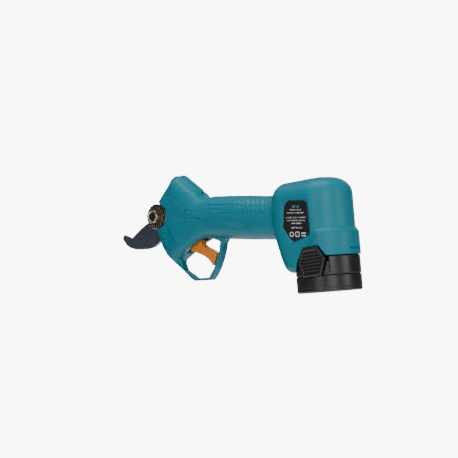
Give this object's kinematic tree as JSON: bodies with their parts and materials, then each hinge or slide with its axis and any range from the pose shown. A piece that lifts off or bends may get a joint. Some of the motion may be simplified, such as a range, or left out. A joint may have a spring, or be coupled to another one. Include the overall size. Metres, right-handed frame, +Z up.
{
  "type": "battery electric pruner",
  "caption": "One-handed cordless bypass pruner: hooked fixed blade and geared cutter in the nose, trigger in a guard, motor in the grip, cylindrical slide-on pack under the rear pod.",
  "frame": {"origin": "centre of the battery pack's flat base face", "axes": "+Z up along the battery pack's axis, -X forward to the blades, -Y the tool's left side, where the pivot nut is"},
  "size_m": [0.2856, 0.0632, 0.1314],
  "materials": {
    "teal_plastic": "moulded, fine satin texture",
    "black_plastic": "moulded, fine texture",
    "orange_plastic": "moulded, satin",
    "lens": "clear-coated dark window",
    "board": "green laminate",
    "blade_steel": "dark coated, ground edges",
    "steel": "machined",
    "dark_steel": "burnished, oiled",
    "aluminium": "die cast",
    "can": "zinc plated",
    "bronze": "sintered",
    "magnet": "ferrite",
    "copper": "lacquered windings on laminations",
    "label_film": "printed film",
    "cap_sleeve": "shrink sleeve",
    "red_wire": "pvc",
    "black_wire": "pvc",
    "cell_wrap": "shrink wrap",
    "contact": "plated"
  },
  "bodies": {
    "tool": {"housing_left": "teal_plastic", "housing_right": "teal_plastic", "display_bezel": "teal_plastic", "display_lens": "lens", "display_board": "board", "gear_case": "aluminium", "fixed_blade": "blade_steel", "fixed_blade_screw_1": "steel", "fixed_blade_screw_2": "steel", "pivot_bolt": "steel", "lock_washer": "dark_steel", "pivot_nut": "dark_steel", "front_bearing": "steel", "ring_gear": "steel", "motor_front_plate": "aluminium", "motor_can": "can", "motor_magnet": "magnet", "motor_end_bell": "black_plastic", "trigger_pin": "steel", "trigger_spring": "steel", "trigger_board": "board", "controller_board": "board", "heatsink": "aluminium", "capacitor": "cap_sleeve", "terminal_block": "black_plastic", "motor_lead_1": "red_wire", "motor_lead_2": "black_wire", "sensor_cable": "black_wire", "housing_screw_1": "dark_steel", "housing_screw_2": "dark_steel", "housing_screw_3": "dark_steel", "housing_screw_4": "dark_steel", "housing_screw_5": "dark_steel", "rating_label": "label_film"},
    "cutter": {"moving_blade": "blade_steel", "blade_gear": "steel", "gear_pin_1": "steel", "gear_pin_2": "steel", "pivot_bush": "bronze"},
    "output": {"output_shaft": "steel", "planet_carrier": "steel"},
    "planet_1": {"planet_gear_1": "steel"},
    "planet_2": {"planet_gear_2": "steel"},
    "planet_3": {"planet_gear_3": "steel"},
    "rotor": {"motor_rotor": "copper", "motor_shaft": "steel", "sun_gear": "steel"},
    "trigger_lever": {"trigger": "orange_plastic", "trigger_magnet": "steel"},
    "power_key": {"power_button": "black_plastic"},
    "pack": {"pack_case": "black_plastic", "pack_cap": "black_plastic", "pack_terminals": "contact", "pack_board": "board", "cell_1": "cell_wrap", "cell_2": "cell_wrap", "cell_3": "cell_wrap", "cell_4": "cell_wrap"},
    "latch_key_left": {"latch_left": "black_plastic"},
    "latch_key_right": {"latch_right": "black_plastic"}
  },
  "joints": [
    {"name": "blade_pivot", "type": "hinge", "parent": "tool", "child": "cutter", "pos_m": [-0.1955, 0, 0.091], "axis": [0, 1, 0], "range_deg": [0, 50]},
    {"name": "output_spin", "type": "hinge", "parent": "tool", "child": "output", "pos_m": [-0.16569, 0, 0.08761], "axis": [0.9936, 0, -0.1129], "range_deg": [-153, 3]},
    {"name": "rotor_spin", "type": "hinge", "parent": "tool", "child": "rotor", "pos_m": [-0.12595, 0, 0.0831], "axis": [0.9936, 0, -0.1129], "range_deg": [-680, 5]},
    {"name": "planet_spin_1", "type": "hinge", "parent": "output", "child": "planet_1", "pos_m": [-0.15468, 0, 0.07821], "axis": [0.9936, 0, -0.1129], "range_deg": [-3, 424]},
    {"name": "planet_spin_2", "type": "hinge", "parent": "output", "child": "planet_2", "pos_m": [-0.15331, 0.00702, 0.09028], "axis": [0.9936, 0, -0.1129], "range_deg": [-3, 424]},
    {"name": "planet_spin_3", "type": "hinge", "parent": "output", "child": "planet_3", "pos_m": [-0.15331, -0.00702, 0.09028], "axis": [0.9936, 0, -0.1129], "range_deg": [-3, 424]},
    {"name": "trigger_pull", "type": "hinge", "parent": "tool", "child": "trigger_lever", "pos_m": [-0.158, 0, 0.062], "axis": [0, -1, 0], "range_deg": [0, 6], "stiffness_Nm_per_rad": 0.12, "springref_deg": -14.32},
    {"name": "power_press", "type": "slide", "parent": "tool", "child": "power_key", "axis": [0, 0, -1], "range_m": [0, 0.0008], "stiffness_N_per_m": 900, "springref_m": -0.0005},
    {"name": "pack_slide", "type": "slide", "parent": "tool", "child": "pack", "axis": [0, 0, -1], "range_m": [0, 0.08]},
    {"name": "latch_press_left", "type": "slide", "parent": "pack", "child": "latch_key_left", "axis": [0, 1, 0], "range_m": [0, 0.002], "stiffness_N_per_m": 2000, "springref_m": -0.0006},
    {"name": "latch_press_right", "type": "slide", "parent": "pack", "child": "latch_key_right", "axis": [0, -1, 0], "range_m": [0, 0.002], "stiffness_N_per_m": 2000, "springref_m": -0.0006}
  ],
  "couplings": [
    {"joint": "output_spin", "follows": "blade_pivot", "ratio": -3},
    {"joint": "rotor_spin", "follows": "blade_pivot", "ratio": -13.5},
    {"joint": "planet_spin_1", "follows": "blade_pivot", "ratio": 8.4},
    {"joint": "planet_spin_2", "follows": "blade_pivot", "ratio": 8.4},
    {"joint": "planet_spin_3", "follows": "blade_pivot", "ratio": 8.4}
  ]
}
